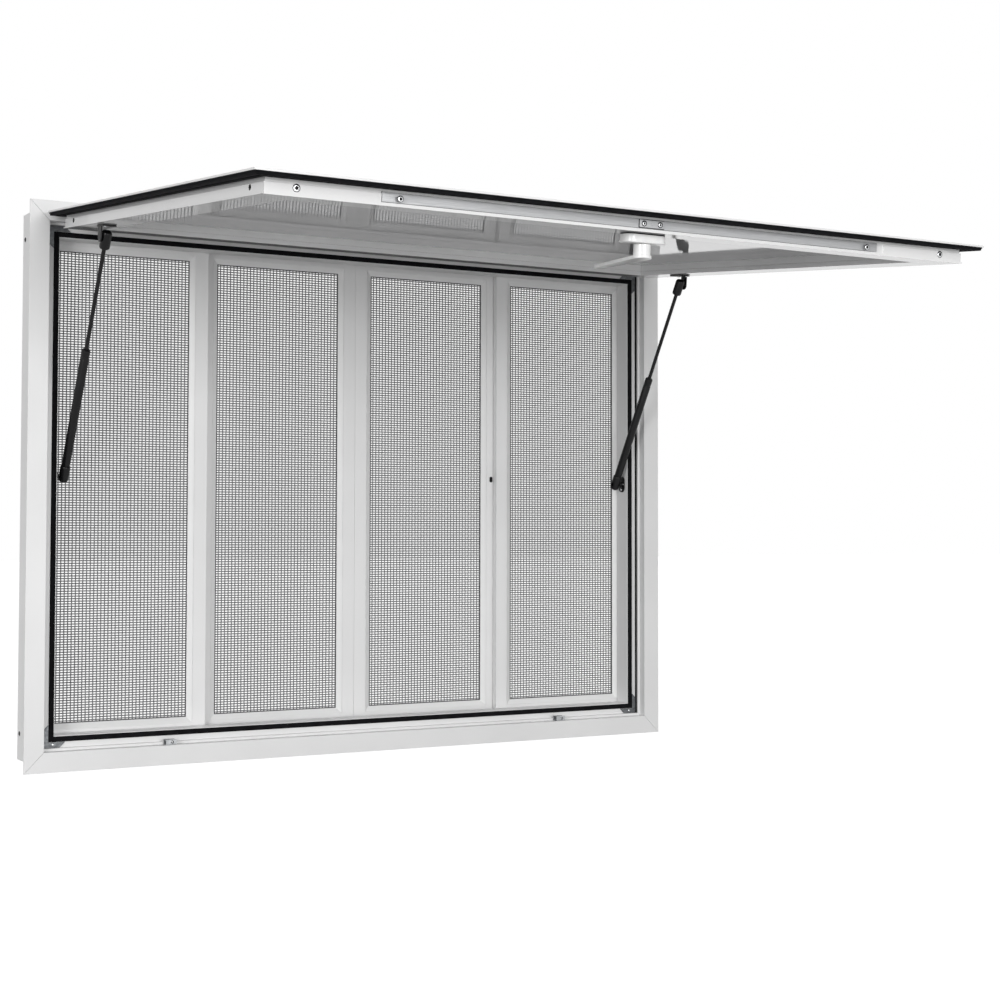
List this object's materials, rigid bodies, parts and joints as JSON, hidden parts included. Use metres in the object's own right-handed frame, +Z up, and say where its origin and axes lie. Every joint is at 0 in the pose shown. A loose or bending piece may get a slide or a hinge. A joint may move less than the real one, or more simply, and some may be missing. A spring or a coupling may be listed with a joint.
{
  "type": "concession window",
  "caption": "White flanged concession window with sliding insect screens, under an awning raised on gas struts and locked by a lever and sliding bar.",
  "frame": {"origin": "back face of the flange, at the middle of its bottom edge strip", "axes": "+X along the width, to the right as seen from outside; +Y into the wall; +Z up"},
  "size_m": [1.2192, 0.9672, 0.9144],
  "materials": {
    "white_paint": "white powder coat on aluminium",
    "glossy_panel": "glossy white panel",
    "white_handle": "smooth white coat on die-cast metal",
    "black_rubber": "matt black",
    "black_steel": "satin black",
    "bright_steel": "brushed",
    "zinc_plate": "dull zinc",
    "screen_mesh": "woven insect mesh"
  },
  "bodies": {
    "frame": {"frame_head": "white_paint", "frame_sill": "white_paint", "frame_left_jamb": "white_paint", "frame_right_jamb": "white_paint", "frame_gasket": "black_rubber", "corner_plate_sill_left": "zinc_plate", "corner_plate_sill_right": "zinc_plate", "corner_plate_head_right": "zinc_plate", "corner_plate_head_left": "zinc_plate", "sash_1": "white_paint", "sash_2": "white_paint", "sash_3": "white_paint", "sash_4": "white_paint", "screen_1": "screen_mesh", "screen_2": "screen_mesh", "screen_3": "screen_mesh", "screen_4": "screen_mesh", "sash_lock": "black_steel", "keeper_left": "zinc_plate", "keeper_right": "zinc_plate", "hinge_rail": "white_paint", "strut_foot_bracket_left": "black_steel", "strut_foot_bracket_right": "black_steel"},
    "awning": {"awning_skin": "white_paint", "awning_front_rail": "white_paint", "awning_back_rail": "white_paint", "awning_left_rail": "white_paint", "awning_right_rail": "white_paint", "awning_inner_panel": "glossy_panel", "awning_seal": "black_rubber", "awning_hinge_leaf": "white_paint", "handle_base": "white_handle", "strut_top_bracket_left": "black_steel", "strut_top_bracket_right": "black_steel"},
    "lock_bar": {"lock_bar": "bright_steel", "lock_plate": "bright_steel"},
    "lever": {"handle_lever": "white_handle"},
    "left_rod": {"strut_rod_left": "black_steel"},
    "left_cylinder": {"strut_cylinder_left": "black_steel"},
    "right_rod": {"strut_rod_right": "black_steel"},
    "right_cylinder": {"strut_cylinder_right": "black_steel"}
  },
  "joints": [
    {"name": "awning_hinge", "type": "hinge", "parent": "frame", "child": "awning", "pos_m": [0, -0.0097, 0.88695], "axis": [1, 0, 0], "range_deg": [0, 84.7]},
    {"name": "lever_turn", "type": "hinge", "parent": "awning", "child": "lever", "pos_m": [0.008, -0.81931, 0.77268], "axis": [0, 0.0924, -0.9957], "range_deg": [0, 90]},
    {"name": "lock_slide", "type": "slide", "parent": "awning", "child": "lock_bar", "axis": [1, 0, 0], "range_m": [0, 0.0141]},
    {"name": "left_strut_pivot", "type": "hinge", "parent": "awning", "child": "left_rod", "pos_m": [-0.5383, -0.17172, 0.82773], "axis": [1, 0, 0], "range_deg": [-114.08, 0]},
    {"name": "left_strut_slide", "type": "slide", "parent": "left_rod", "child": "left_cylinder", "axis": [0, -0.5034, 0.8641], "range_m": [0, 0.16442]},
    {"name": "right_strut_pivot", "type": "hinge", "parent": "awning", "child": "right_rod", "pos_m": [0.5383, -0.17172, 0.82773], "axis": [1, 0, 0], "range_deg": [-114.08, 0]},
    {"name": "right_strut_slide", "type": "slide", "parent": "right_rod", "child": "right_cylinder", "axis": [0, -0.5034, 0.8641], "range_m": [0, 0.16442]}
  ],
  "couplings": [
    {"joint": "lock_slide", "follows": "lever_turn", "m_per_rad": 0.0089127},
    {"joint": "left_strut_pivot", "follows": "awning_hinge", "ratio": -1.3456},
    {"joint": "left_strut_slide", "follows": "awning_hinge", "m_per_rad": 0.11115},
    {"joint": "right_strut_pivot", "follows": "awning_hinge", "ratio": -1.3456},
    {"joint": "right_strut_slide", "follows": "awning_hinge", "m_per_rad": 0.11115}
  ]
}
